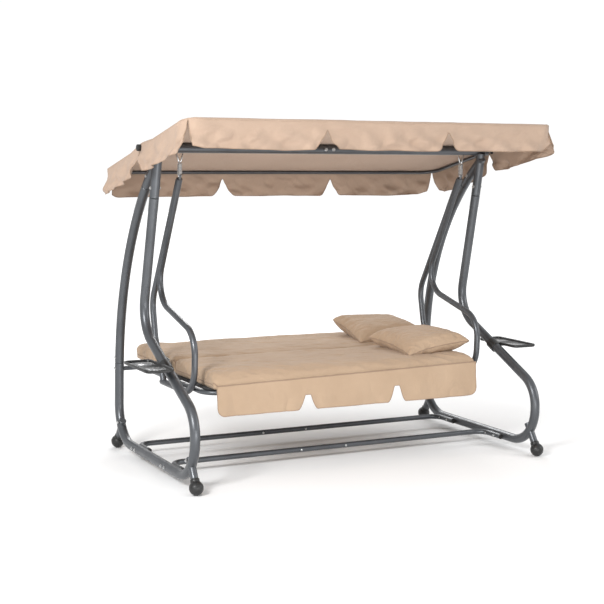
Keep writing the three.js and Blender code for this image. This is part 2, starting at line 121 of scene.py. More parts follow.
def hard_finish(name, colour, rough, values, grain=None):
    """Paint, plating or plastic. colour and rough are (noise scale, low, high), values are shader
    inputs, and grain is (noise scale, bump strength, bump distance)."""
    mat, shader, add, link = material(name)
    for socket, ramp in (("Base Color", colour), ("Roughness", rough)):
        shade, _ = noise_ramp(add, link, *ramp)
        link(shade, shader.inputs[socket])
    for socket, value in values.items():
        shader.inputs[socket].default_value = value
    if grain:
        scale, strength, distance = grain
        _, height = noise_ramp(add, link, scale, grey(0), grey(1), detail=2.0)
        bump = add("ShaderNodeBump", Strength=strength, Distance=distance)
        link(height, bump.inputs["Height"])
        link(bump.outputs["Normal"], shader.inputs["Normal"])
    return mat


def weave(name, low, high, threads, height, sheen=0.12):
    """Woven cloth: a wave of threads along each axis in object space, so that it needs no UVs."""
    mat, shader, add, link = material(name)
    where = add("ShaderNodeTexCoord")
    colour, _ = noise_ramp(add, link, 3.2, low, high, detail=8.0)
    waves = add("ShaderNodeCombineXYZ")
    for axis in ("X", "Y", "Z"):
        wave = add("ShaderNodeTexWave", Scale=threads, Distortion=0.6, Detail=1.0,
                   wave_type="BANDS", bands_direction=axis)
        link(where.outputs["Object"], wave.inputs["Vector"])
        link(wave.outputs["Fac"], waves.inputs[axis])
    # Each set of threads fades where the surface faces along it.
    facing = add("ShaderNodeVectorMath", operation="ABSOLUTE")
    link(where.outputs["Normal"], facing.inputs[0])
    share = add("ShaderNodeVectorMath", operation="SUBTRACT")
    share.inputs[0].default_value = (1, 1, 1)
    link(facing.outputs[0], share.inputs[1])
    total = add("ShaderNodeVectorMath", operation="DOT_PRODUCT")
    link(waves.outputs[0], total.inputs[0])
    link(share.outputs[0], total.inputs[1])
    # Painted shade and highlight: the colour darkens in the grooves between threads and lightens on their
    # crowns, following the same thread height as the bump below.
    shade = add("ShaderNodeMapRange", **{"From Max": 2.0, "To Min": 0.90, "To Max": 1.06})
    link(total.outputs["Value"], shade.inputs["Value"])
    thread_shaded_colour = add("ShaderNodeVectorMath", operation="SCALE")
    link(colour, thread_shaded_colour.inputs[0])
    link(shade.outputs["Result"], thread_shaded_colour.inputs["Scale"])
    link(thread_shaded_colour.outputs[0], shader.inputs["Base Color"])
    rough, _ = noise_ramp(add, link, 12.0, grey(0.75), grey(0.9))
    link(rough, shader.inputs["Roughness"])
    crumple = add("ShaderNodeTexNoise", Scale=26.0, Detail=4.0, Roughness=0.55, Distortion=0.6)
    link(where.outputs["Object"], crumple.inputs["Vector"])
    crease_bump = add("ShaderNodeBump", Strength=0.55, Distance=0.004)
    link(crumple.outputs["Fac"], crease_bump.inputs["Height"])
    thread_bump = add("ShaderNodeBump", Strength=0.5, Distance=height)
    link(total.outputs["Value"], thread_bump.inputs["Height"])
    link(crease_bump.outputs["Normal"], thread_bump.inputs["Normal"])
    link(thread_bump.outputs["Normal"], shader.inputs["Normal"])
    shader.inputs["Sheen Weight"].default_value = sheen
    shader.inputs["Sheen Roughness"].default_value = 0.5
    shader.inputs["Specular IOR Level"].default_value = 0.25
    return mat


STEEL = hard_finish("grey_powder_coat", (9.0, (0.074, 0.079, 0.087), (0.098, 0.104, 0.113)),
                    (22.0, grey(0.30), grey(0.42)),
                    {"Metallic": 0.55, "Coat Weight": 0.25, "Coat Roughness": 0.25}, (900.0, 0.12, 0.0004))
ZINC = hard_finish("zinc_plate", (60.0, (0.55, 0.56, 0.57), (0.72, 0.72, 0.71)),
                   (160.0, grey(0.22), grey(0.38)), {"Metallic": 1.0})
BLACK = hard_finish("black_plastic", (30.0, grey(0.010), grey(0.020)),
                    (45.0, grey(0.32), grey(0.48)), {}, (1400.0, 0.15, 0.0003))
TRAY = hard_finish("tray_grey", (14.0, (0.22, 0.225, 0.23), (0.29, 0.295, 0.30)),
                   (35.0, grey(0.20), grey(0.34)), {"Coat Weight": 0.4})
CANVAS = weave("canvas_cloth", (0.43, 0.31, 0.232), (0.48, 0.35, 0.265), 420.0, 0.0004)
FABRIC = weave("cushion_cloth", (0.43, 0.305, 0.205), (0.485, 0.35, 0.24), 380.0, 0.0005)
PIPING = weave("piping_cloth", (0.31, 0.215, 0.15), (0.37, 0.26, 0.185), 600.0, 0.0004)
MESH = weave("sling_mesh", (0.012, 0.012, 0.013), (0.024, 0.024, 0.025), 260.0, 0.0006, sheen=0.1)


# ---- mesh helpers
def new_object(name, vertices, faces, mat):
    mesh = bpy.data.meshes.new(name)
    mesh.from_pydata([tuple(v) for v in vertices], [], faces)
    mesh.update()
    mesh.polygons.foreach_set("use_smooth", [True] * len(mesh.polygons))
    mesh.materials.append(mat)
    obj = bpy.data.objects.new(name, mesh)
    bpy.context.scene.collection.objects.link(obj)
    return obj


def place(obj, body, slot_name, *node_names):
    """The piece rides on a CAD body and stands for CAD nodes; slot_name is not used."""
    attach(obj, body)
    if node_names:
        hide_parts(*node_names)
    return obj


def ring_faces(rings, count):
    """Quads between rings of count points each, one ring after another."""
    faces = []
    for ring in range(rings - 1):
        for k in range(count):
            a = ring * count + k
            b = ring * count + (k + 1) % count
            faces.append((a, b, b + count, a + count))
    return faces


def rim_cells(cells_x, cells_y):
    """Grid positions round the rim, from the front left corner to the right."""
    steps = [(i, 0) for i in range(cells_x)] + [(cells_x, j) for j in range(cells_y)]
    steps += [(i, cells_y) for i in range(cells_x, 0, -1)]
    return steps + [(0, j) for j in range(cells_y, 0, -1)]


def grid_faces(cells_x, cells_y):
    """Quads of a sheet whose points run along x first."""
    faces = []
    for j in range(cells_y):
        for i in range(cells_x):
            a = j * (cells_x + 1) + i
            faces.append((a, a + 1, a + cells_x + 2, a + cells_x + 1))
    return faces


def rounded_path(corners, step=5.0):
    """Points along straight runs joined by bends. Each corner is (point, bend radius)."""
    path = []
    for i, (point, radius) in enumerate(corners):
        if not radius or i in (0, len(corners) - 1):
            path.append(point.copy())
            continue
        inward = (point - corners[i - 1][0]).normalized()
        onward = (corners[i + 1][0] - point).normalized()
        turn = inward.angle(onward)
        reach = radius * math.tan(turn / 2)
        axis = inward.cross(onward).normalized()
        start = point - inward * reach
        centre = start + axis.cross(inward) * radius
        steps = max(3, round(math.degrees(turn) / step))
        for s in range(steps + 1):
            turned = Matrix.Rotation(turn * s / steps, 3, axis) @ (start - centre)
            path.append(centre + turned)
    return path


def tube_mesh(path, radius, sides=28, closed=False):
    """Vertices and faces of a round tube along a flat path, its cut ends eased."""
    count = len(path)
    flat = Vector((0, 0, 0))
    for i in range(1, count - 1):
        flat = (path[i] - path[i - 1]).normalized().cross((path[i + 1] - path[i]).normalized())
        if flat.length > 1e-4:
            break
    if flat.length <= 1e-4:
        run = (path[-1] - path[0]).normalized()
        other = Vector((0, 0, 1)) if abs(run.z) < 0.9 else Vector((1, 0, 0))
        flat = run.cross(other)
    flat.normalize()
    vertices = []
    rings = []
    for i in range(count):
        before = path[i - 1] if closed or i else path[i]
        after = path[(i + 1) % count] if closed or i < count - 1 else path[i]
        arrive = (path[i] - before).normalized() if before != path[i] else Vector((0, 0, 0))
        leave = (after - path[i]).normalized() if after != path[i] else Vector((0, 0, 0))
        along = (arrive + leave).normalized()
        rings.append((path[i], flat.cross(along).normalized(), radius, along))
    if not closed:
        ease = min(0.0015, radius * 0.3)
        first = rings[0]
        last = rings[-1]
        rings[0] = (first[0] + first[3] * ease, first[1], radius, first[3])
        rings.insert(0, (first[0], first[1], radius - ease, first[3]))
        rings[-1] = (last[0] - last[3] * ease, last[1], radius, last[3])
        rings.append((last[0], last[1], radius - ease, last[3]))
    for middle, side, size, _ in rings:
        for k in range(sides):
            angle = 2 * math.pi * k / sides
            vertices.append(middle + side * size * math.cos(angle) + flat * size * math.sin(angle))
    total = len(rings)
    whole = total * sides
    joined = ring_faces(total + 1 if closed else total, sides)
    faces = [tuple(corner % whole for corner in face) for face in joined]
    if not closed:
        faces.append(tuple(range(sides))[::-1])
        faces.append(tuple(range(whole - sides, whole)))
    return vertices, faces


def join_parts(parts):
    """Several (vertices, faces) lists as one."""
    vertices = []
    faces = []
    for part_vertices, part_faces in parts:
        base = len(vertices)
        vertices += part_vertices
        faces += [tuple(base + i for i in face) for face in part_faces]
    return vertices, faces


def fix_normals(obj):
    work = bmesh.new()
    work.from_mesh(obj.data)
    bmesh.ops.recalc_face_normals(work, faces=work.faces)
    work.to_mesh(obj.data)
    work.free()
    return obj


def crisp(name, parts, mat, degrees=38):
    """One object from several closed parts, smooth with crisp rims."""
    obj = fix_normals(new_object(name, *join_parts(parts), mat))
    bpy.context.view_layer.objects.active = obj
    for other in bpy.context.selected_objects:
        other.select_set(False)
    obj.select_set(True)
    bpy.ops.object.shade_smooth_by_angle(angle=math.radians(degrees))
    return obj


def tubes(name, runs, mat=STEEL):
    """One object from several tubes, each run a (path, radius)."""
    return crisp(name, [tube_mesh(path, radius) for path, radius in runs], mat)


def steel(name, runs, body, *node_names):
    """Powder coated tubes on a body."""
    return place(tubes(name, runs), body, "painted_tube", *node_names)


def rounded_square(u, v, half_x, half_y, corner):
    """Maps a point of the square -1..1 onto a rectangle with rounded corners."""
    x = u * half_x
    y = v * half_y
    dx = abs(x) - (half_x - corner)
    dy = abs(y) - (half_y - corner)
    if dx > 0 and dy > 0:
        pull = max(dx, dy) / math.hypot(dx, dy)
        x = math.copysign(half_x - corner + dx * pull, x)
        y = math.copysign(half_y - corner + dy * pull, y)
    return x, y


def evaluated_mesh(obj):
    """The mesh of an object with its modifiers applied."""
    return bpy.data.meshes.new_from_object(obj.evaluated_get(bpy.context.evaluated_depsgraph_get()))


def thread_run(name, points, radius, mat, closed=False):
    """A round cord through free points, as a mesh."""
    curve = bpy.data.curves.new(name, "CURVE")
    curve.dimensions = "3D"
    curve.bevel_depth = radius
    curve.bevel_resolution = 3
    line = curve.splines.new("POLY")
    line.points.add(len(points) - 1)
    for spot, point in zip(line.points, points):
        spot.co = (*point, 1)
    line.use_cyclic_u = closed
    holder = bpy.data.objects.new(name, curve)
    bpy.context.scene.collection.objects.link(holder)
    bpy.context.view_layer.update()
    mesh = evaluated_mesh(holder)
    bpy.data.objects.remove(holder)
    mesh.materials.clear()
    mesh.materials.append(mat)
    mesh.polygons.foreach_set("use_smooth", [True] * len(mesh.polygons))
    obj = bpy.data.objects.new(name, mesh)
    bpy.context.scene.collection.objects.link(obj)
    return obj


# ---- side frames
LEG_TOP_Y = 0.0315
LEG_TOP_Z = 1.352
LEG_SLOPE = 0.2434
ARC_RADIUS = 1.369
ARC_Z = 0.437
REAR_Y = 0.544
FRONT_Y = -0.538
REAR_JOINT_Z = 0.462
REAR_SEAM_Z = 1.405
JOINT_GAP = 0.0012  # left between two tubes that meet
BOLT_SEAT = 0.985   # a bolt's washer starts at this share of the tube's radius
FOOT_MIDDLE = 0.003
FOOT_ROOT = (0.481, 0.162)  # reach from FOOT_MIDDLE, and height
FOOT_TIP = 0.563
STEM = 0.019
STAY = 0.012
STAY_ROOT = 0.94


def leg_y(z):
    return LEG_TOP_Y + LEG_SLOPE * (LEG_TOP_Z - z)


def arc_y(z):
    return REAR_Y - ARC_RADIUS + math.sqrt(ARC_RADIUS ** 2 - (z - ARC_Z) ** 2)


def arc_path(sign, low, high, steps=28):
    heights = [low + (high - low) * s / steps for s in range(steps + 1)]
    return [side_point(sign, arc_y(z), z) for z in heights]


def front_leg(sign):
    seam = FRONT_SEAM - BEAM_Y
    return rounded_path([
        (side_point(sign, LEG_TOP_Y, LEG_TOP_Z), 0),
        (side_point(sign, leg_y(0.702), 0.702), 0.183),
        (side_point(sign, FRONT_Y - 0.002, 0.363), 0.160),
        (side_point(sign, FRONT_Y, RAIL_Z), 0.194),
        (side_point(sign, seam - JOINT_GAP / 2, RAIL_Z), 0),
    ])


def rear_lower(sign):
    seam = REAR_SEAM - BEAM_Y
    return rounded_path([
        (side_point(sign, seam + JOINT_GAP / 2, RAIL_Z), 0),
        (side_point(sign, REAR_Y, RAIL_Z), 0.194),
        (side_point(sign, REAR_Y, REAR_JOINT_Z), 0),
    ])


def bolt_parts(base, outward, radius=0.0062, height=0.0045):
    """A domed hexagon bolt head on a washer, as (vertices, faces)."""
    along = outward.normalized()
    washer = tube_mesh([base, base + along * 0.0014], radius * 1.45, sides=20)
    head = tube_mesh([base + along * 0.0014, base + along * (0.0014 + height)], radius, sides=6)
    return [washer, head]


BALL = 0.0345


def ball_foot(name, tip, axis):
    """A moulded ball cut off at the floor, with a raised seam and the collar that holds its stem."""
    rings, around = 28, 40
    side = axis.orthogonal().normalized()
    other = axis.cross(side)
    vertices = []
    for i in range(rings + 1):
        polar = math.pi * i / rings
        raised = 0.0007 if abs(polar - math.pi / 2) < 0.06 else 0.0
        reach = (BALL - 0.0002 + raised) * math.sin(polar)
        for k in range(around):
            angle = 2 * math.pi * k / around
            outward = side * math.cos(angle) + other * math.sin(angle)
            point = tip + axis * BALL * math.cos(polar) + outward * max(reach, 1e-5)
            point.z = max(point.z, 0.0)
            vertices.append(point)
    collar = tube_mesh([tip + axis * 0.024, tip + axis * 0.043], 0.0225, sides=32)
    return crisp(name, [(vertices, ring_faces(rings + 1, around)), collar], BLACK, 50)


for sign, end in SIDES:
    steel(f"front_leg_{end}", [(front_leg(sign), TUBE)], "frame", f"leg_front_{end}")
    steel(f"rear_elbow_{end}", [(rear_lower(sign), TUBE)], "frame", f"leg_rear_lower_{end}")
    upper = arc_path(sign, REAR_JOINT_Z + JOINT_GAP, REAR_SEAM_Z - JOINT_GAP)
    steel(f"rear_leg_{end}", [(upper, TUBE)], "frame", f"leg_rear_upper_{end}")
    rail = [side_point(sign, FRONT_SEAM - BEAM_Y, RAIL_Z), side_point(sign, REAR_SEAM - BEAM_Y, RAIL_Z)]
    steel(f"bottom_rail_{end}", [(rail, TUBE)], "frame", f"rail_middle_{end}")

    top = BEAM_Z - 0.012
    stub_front = [side_point(sign, LEG_TOP_Y, LEG_TOP_Z + JOINT_GAP),
                  side_point(sign, leg_y(top) + 0.006, top)]
    stub_rear = arc_path(sign, REAR_SEAM_Z + JOINT_GAP, 1.545, 10) + [side_point(sign, 0.008, top - 0.002)]
    steel(f"apex_{end}", [(stub_front, TUBE), (stub_rear, TUBE)], "frame", f"apex_bracket_{end}")

    for spot, way in (("front", -1), ("rear", 1)):
        root = side_point(sign, FOOT_MIDDLE + way * FOOT_ROOT[0], FOOT_ROOT[1])
        tip = side_point(sign, FOOT_MIDDLE + way * FOOT_TIP, BALL)
        steel(f"foot_stem_{spot}_{end}", [([root, tip], STEM)], "frame", f"foot_tube_{spot}_{end}")
        ball = ball_foot(f"ball_foot_{spot}_{end}", tip, (root - tip).normalized())
        place(ball, "frame", "black_plastic", f"foot_ball_{spot}_{end}")

    stay_low, stay_high = span(f"stay_bar_{end}")
    stay_z = (stay_low.z + stay_high.z) / 2
    stay_y = (stay_low.y + stay_high.y) / 2
    stay_inner = stay_low.x if sign > 0 else stay_high.x
    stay = [Vector((sign * STAY_ROOT, stay_y, stay_z)), Vector((stay_inner, stay_y, stay_z))]
    steel(f"steady_bar_{end}", [(stay, STAY)], "frame", f"stay_bar_{end}")

    # Bolts through the joints: y, z and the faces they show on, 1 for the outer and -1 for the inner.
    heads = []
    joints = [(leg_y(1.400), 1.400, (1, -1)), (arc_y(1.458), 1.458, (1, -1))]
    for seam in (FRONT_SEAM, REAR_SEAM):
        joints += [(seam - BEAM_Y + step, RAIL_Z, (1,)) for step in (0.022, -0.022)]
    joints += [(arc_y(0.492), 0.492, (1,)), (REAR_Y, 0.434, (1,))]
    joints += [(FOOT_MIDDLE + way * 0.492, 0.150, (1,)) for way in (-1, 1)]
    for y, z, ways in joints:
        for way in ways:
            outward = Vector((sign * way, 0, 0))
            heads += bolt_parts(side_point(sign, y, z) + outward * TUBE * BOLT_SEAT, outward)
    place(crisp(f"side_bolts_{end}", heads, ZINC, 30), "frame", "zinc")

# ---- beam and floor tubes
for sign, end in SIDES:
    beam = [Vector((sign * 0.0003, BEAM_Y, BEAM_Z)), Vector((sign * BEAM_HALF, BEAM_Y, BEAM_Z))]
    steel(f"top_beam_{end}", [(beam, TUBE)], "frame", f"beam_{end}")
    base = Vector((sign * 0.022, BEAM_Y - TUBE * BOLT_SEAT, BEAM_Z))
    head = crisp(f"beam_joint_bolt_{end}", bolt_parts(base, Vector((0, -1, 0))), ZINC, 30)
    place(head, "frame", "zinc", f"beam_bolt_{end}")

FLOOR_JOINT_X = -0.034
RAIL_INNER = SIDE_X + SIDE_LEAN * (RAIL_Z - SIDE_Z) - TUBE
for spot in ("front", "rear"):
    low, high = span(f"cross_tube_{spot}_right")
    cross_y = high.y - CROSS_TUBE
    tail_y = low.y
    along = RAIL_INNER - CROSS_TUBE - JOINT_GAP / 2
    for sign, end in SIDES:
        path = rounded_path([
            (Vector((FLOOR_JOINT_X + sign * 0.0003, cross_y, RAIL_Z)), 0),
            (Vector((sign * along, cross_y, RAIL_Z)), 0.070),
            (Vector((sign * along, tail_y, RAIL_Z)), 0),
        ])
        steel(f"floor_tube_{spot}_{end}", [(path, CROSS_TUBE)], "frame", f"cross_tube_{spot}_{end}")
        plug_end = Vector((sign * along, tail_y, RAIL_Z))
        plug = tube_mesh([plug_end, plug_end + Vector((0, -0.007, 0))], CROSS_TUBE * 1.03)
        place(crisp(f"end_plug_{spot}_{end}", [plug], BLACK), "frame", "black_plastic")
        heads = []
        for back in (0.045, 0.120):
            base = Vector((sign * (along - CROSS_TUBE * BOLT_SEAT), tail_y + back, RAIL_Z))
            heads += bolt_parts(base, Vector((-sign, 0, 0)), radius=0.005)
        for x in (-0.205, 0.055):
            if x * sign > 0:
                base = Vector((x, cross_y - CROSS_TUBE * BOLT_SEAT, RAIL_Z))
                heads += bolt_parts(base, Vector((0, -1, 0)), radius=0.004)
        place(crisp(f"floor_bolts_{spot}_{end}", heads, ZINC, 30), "frame", "zinc")

# ---- side trays
def rounded_outline(x0, y0, x1, y1, radius, steps=8):
    centres = ((x1 - radius, y0 + radius, -90), (x1 - radius, y1 - radius, 0),
               (x0 + radius, y1 - radius, 90), (x0 + radius, y0 + radius, 180))
    points = []
    for cx, cy, first in centres:
        for s in range(steps + 1):
            angle = math.radians(first + 90 * s / steps)
            points.append((cx + radius * math.cos(angle), cy + radius * math.sin(angle)))
    return points


CLAMP_Y = -0.152
CLAMP_Z = 0.541
CLAMP_ALONG = Vector((0, 0.906, 0.423)).normalized()
ARM_SPAN = (0.965, 1.060)  # x of the arm's ends


def ring_stack(outline_at, levels):
    """A closed solid through outlines of equal length, each at its (inset, height)."""
    vertices = []
    for inset, z in levels:
        vertices += [Vector((x, y, z)) for x, y in outline_at(inset)]
    count = len(outline_at(0))
    faces = ring_faces(len(levels), count)
    faces.append(tuple(range(count))[::-1])
    faces.append(tuple(range((len(levels) - 1) * count, len(levels) * count)))
    return vertices, faces


for sign, end in SIDES:
    low, high = span(f"tray_{end}")

    def tray_outline(inset, low=low, high=high):
        bend = 0.028 - inset * 0.9
        return rounded_outline(low.x + inset, low.y + inset, high.x - inset, high.y - inset, bend)

    rim = high.z
    shell_levels = [(0.006, low.z), (0.001, low.z + 0.002), (0.0, low.z + 0.006), (0.0, rim - 0.003),
                    (0.0012, rim - 0.0007), (0.003, rim), (0.006, rim - 0.0007), (0.0075, rim - 0.003),
                    (0.009, low.z + 0.006), (0.012, low.z + 0.005)]
    shell = crisp(f"tray_shell_{end}", [ring_stack(tray_outline, shell_levels)], BLACK, 50)
    place(shell, "frame", "black_plastic", f"tray_{end}")
    pads = []
    middle_y = (low.y + high.y) / 2
    for y0, y1 in ((low.y + 0.034, middle_y - 0.038), (middle_y + 0.038, high.y - 0.034)):
        def pad_outline(inset, y0=y0, y1=y1, low=low, high=high):
            x0 = low.x + 0.032 + inset
            x1 = high.x - 0.032 - inset
            return rounded_outline(x0, y0 + inset, x1, y1 - inset, 0.018 - inset)
        floor_z = low.z + 0.0052
        pad_levels = [(0.0, floor_z), (0.0, floor_z + 0.002), (0.0015, floor_z + 0.003)]
        pads.append(ring_stack(pad_outline, pad_levels))
    inlay = crisp(f"tray_pads_{end}", pads, TRAY, 40)
    place(inlay, "frame", "tray_top", f"tray_inlay_{end}")

    clamp_middle = side_point(sign, CLAMP_Y, CLAMP_Z)
    clamp_run = [clamp_middle - CLAMP_ALONG * 0.034, clamp_middle + CLAMP_ALONG * 0.024]
    clamp = tubes(f"leg_collar_{end}", [(clamp_run, 0.029)], BLACK)
    place(clamp, "frame", "black_plastic", f"tray_clamp_{end}")
    arm = [Vector((sign * x, BEAM_Y + CLAMP_Y - 0.003, low.z - 0.004)) for x in ARM_SPAN]
    place(tubes(f"tray_bracket_{end}", [(arm, 0.0075)], BLACK), "frame", "black_plastic")

# ---- links and hangers
EYE_Z = 1.455
COIL_LOW = EYE_Z + 0.012
COIL_HIGH = EYE_Z + 0.062
COIL_RADIUS = 0.0105
COIL_TURNS = 9
PIVOT_Y = 0.285
PIVOT_Z = 0.500
PIN_INNER = 0.7755


def bench_point(x, y, z):
    return Vector((x, BEAM_Y + y, z))


for sign, end in SIDES:
    x = sign * HANGER_X
    front = rounded_path([
        (bench_point(x, 0.004, 1.446), 0),
        (bench_point(x, 0.352, 0.832), 0.135),
        (bench_point(x, -0.197, 0.694), 0.135),
        (bench_point(x, -0.185, 0.396), 0.135),
        (bench_point(x, 0.262, 0.396), 0),
    ])
    steel(f"arm_tube_{end}", [(front, HANGER_TUBE)], "swing", f"hanger_front_{end}")
    rear = rounded_path([
        (bench_point(x, 0.014, 1.440), 0),
        (bench_point(x, 0.402, 0.800), 0.150),
        (bench_point(x, 0.358, 0.610), 0.120),
        (bench_point(x, 0.240, 0.400), 0),
    ])
    steel(f"rear_hanger_{end}", [(rear, HANGER_TUBE)], "swing", f"hanger_rear_{end}")

    # Flat eye, tension spring between two plates, and the wire V up to the beam.
    coil = []
    for s in range(COIL_TURNS * 20 + 1):
        angle = 2 * math.pi * s / 20
        z = COIL_LOW + (COIL_HIGH - COIL_LOW) * s / (COIL_TURNS * 20)
        coil.append(bench_point(x + COIL_RADIUS * math.cos(angle), COIL_RADIUS * math.sin(angle), z))
    place(thread_run(f"spring_coil_{end}", coil, 0.0022, ZINC), "swing", "zinc")
    parts = []
    for z in (COIL_LOW - 0.004, COIL_HIGH + 0.002):
        parts.append(tube_mesh([bench_point(x, 0, z), bench_point(x, 0, z + 0.003)], 0.014, sides=28))
    parts.append(tube_mesh([bench_point(x, 0, COIL_LOW), bench_point(x, 0, COIL_HIGH)], 0.0045, sides=12))
    cross_pin = [bench_point(x - 0.010, 0, EYE_Z + 0.004), bench_point(x + 0.010, 0, EYE_Z + 0.004)]
    parts.append(tube_mesh(cross_pin, 0.006, sides=16))
    spring = crisp(f"tension_spring_{end}", parts, ZINC, 45)
    place(spring, "swing", "zinc", f"link_spring_{end}")
    lug_run = [bench_point(x, 0.004, 1.438), bench_point(x, 0, EYE_Z + 0.009)]
    steel(f"hanger_lug_{end}", [(lug_run, 0.0085)], "swing")
    hook_top = BEAM_Z - TUBE - 0.002
    spring_top = EYE_Z + 0.0675
    foot_of_v = [bench_point(x - 0.004, 0, spring_top), bench_point(x + 0.004, 0, spring_top)]
    wires = [tube_mesh(foot_of_v, 0.0042, sides=12)]
    for way in (-1, 1):
        wire = [bench_point(x + way * 0.017, 0, hook_top), bench_point(x + way * 0.003, 0, spring_top)]
        wires.append(tube_mesh(wire, 0.0035, sides=12))
    hook = crisp(f"wire_hook_{end}", wires, ZINC, 45)
    place(hook, "swing", "zinc", f"link_hook_{end}")

    inner = sign * PIN_INNER
    outer = sign * (HANGER_X - HANGER_TUBE)
    pin = [bench_point(inner, PIVOT_Y, PIVOT_Z), bench_point(outer, PIVOT_Y, PIVOT_Z)]
    pin_head = bolt_parts(bench_point(inner, PIVOT_Y, PIVOT_Z), Vector((-sign, 0, 0)), radius=0.007)
    hinge_pin = crisp(f"fold_pin_{end}", [tube_mesh(pin, 0.005, sides=20)] + pin_head, ZINC, 30)
    place(hinge_pin, "swing", "zinc", f"backrest_pin_{end}")

# ---- seat and backrest frames
FRAME_Z = 0.414
FRAME_X = 0.790
SEAT_FRONT = -0.270
SEAT_REAR = 0.226
BACK_START = 0.304
BACK_REAR = 0.806
EAR_RADIUS = 0.016
EAR_PLATE = 0.005


def u_frame(start, far, bend):
    return rounded_path([
        (bench_point(-FRAME_X, start, FRAME_Z), 0),
        (bench_point(-FRAME_X, far, FRAME_Z), bend),
        (bench_point(FRAME_X, far, FRAME_Z), bend),
        (bench_point(FRAME_X, start, FRAME_Z), 0),
    ])


def straight(x0, y0, x1, y1, z):
    return [bench_point(x0, y0, z), bench_point(x1, y1, z)]


seat_runs = [(u_frame(SEAT_REAR - 0.014, SEAT_FRONT, 0.100), BENCH_TUBE),
             (straight(-FRAME_X, SEAT_REAR, FRAME_X, SEAT_REAR, FRAME_Z), BENCH_TUBE)]
back_runs = [(u_frame(BACK_START, BACK_REAR, 0.190), BENCH_TUBE),
             (straight(-FRAME_X, BACK_START + 0.014, FRAME_X, BACK_START + 0.014, FRAME_Z), BENCH_TUBE)]
for part in (-0.36, 0, 0.36):
    x = part * 2 * FRAME_X
    seat_runs.append((straight(x, SEAT_FRONT, x, SEAT_REAR, FRAME_Z - 0.002), 0.008))
for part in (-0.3, 0, 0.3):
    x = part * 2 * FRAME_X
    back_runs.append((straight(x, BACK_START + 0.014, x, BACK_REAR, FRAME_Z - 0.002), 0.008))
steel("seat_tubes", seat_runs, "swing", "seat_frame")
steel("backrest_tubes", back_runs, "backrest", "back_frame")
for sign, end in SIDES:
    outline = [(BACK_START + 0.040, FRAME_Z), (BACK_START - 0.004, FRAME_Z)]
    for s in range(13):
        angle = math.pi - math.pi * s / 12
        outline.append((PIVOT_Y + EAR_RADIUS * math.cos(angle), PIVOT_Z + EAR_RADIUS * math.sin(angle)))
    x0 = sign * (FRAME_X - 0.006) - EAR_PLATE / 2
    vertices = [bench_point(x0 + dx, y, z) for dx in (0, EAR_PLATE) for y, z in outline]
    count = len(outline)
    faces = [tuple(range(count)), tuple(range(count, 2 * count))[::-1]]
    faces += [(k, (k + 1) % count, count + (k + 1) % count, count + k) for k in range(count)]
    ear = crisp(f"backrest_ear_{end}", [(vertices, faces)], STEEL, 30)
    place(ear, "backrest", "painted_tube", f"hinge_ear_{end}")

# ---- slings
def flat_sheet(name, node, body, corner):
    """A sling stretched over the tubes below it, with its outer corners rounded."""
    low, high = span(node)
    cells_x, cells_y = 64, 24
    vertices = []
    for j in range(cells_y + 1):
        for i in range(cells_x + 1):
            x, y = rounded_square(i / cells_x * 2 - 1, j / cells_y * 2 - 1,
                                  (high.x - low.x) / 2, (high.y - low.y) / 2, corner)
            vertices.append(Vector((x + (low.x + high.x) / 2, y + (low.y + high.y) / 2, low.z + 0.0016)))
    obj = new_object(name, vertices, grid_faces(cells_x, cells_y), MESH)
    solid = obj.modifiers.new("thickness", "SOLIDIFY")
    solid.thickness = 0.0014
    solid.offset = 0
    place(obj, body, "sling_fabric", node)
    return obj


flat_sheet("seat_mesh", "seat_sling", "swing", 0.060)
flat_sheet("backrest_mesh", "back_sling", "backrest", 0.150)


# ---- cushions and pillows
def pad_surface(half_x, half_y, corner, cells, surface_at):
    """A closed pad: top and bottom sheets on one plan, joined along their rim. surface_at(x, y, u, v, side)
    gives a point, with side 1 for the top and -1 for the bottom."""
    cells_x, cells_y = cells
    vertices = []
    index = {}
    for side in (1, -1):
        for j in range(cells_y + 1):
            for i in range(cells_x + 1):
                rim = i in (0, cells_x) or j in (0, cells_y)
                if side < 0 and rim:
                    index[side, i, j] = index[1, i, j]
                    continue
                u = math.sin((i / cells_x - 0.5) * math.pi)
                v = math.sin((j / cells_y - 0.5) * math.pi)
                x, y = rounded_square(u, v, half_x, half_y, corner)
                index[side, i, j] = len(vertices)
                vertices.append(surface_at(x, y, u, v, side))
    faces = []
    for side in (1, -1):
        for j in range(cells_y):
            for i in range(cells_x):
                quad = tuple(index[side, i + di, j + dj] for di, dj in ((0, 0), (1, 0), (1, 1), (0, 1)))
                faces.append(quad if side > 0 else quad[::-1])
    return vertices, faces, [vertices[index[1, i, j]].copy() for i, j in rim_cells(cells_x, cells_y)]


PRESSURE = 4.0
SWELL_FRAMES = 18


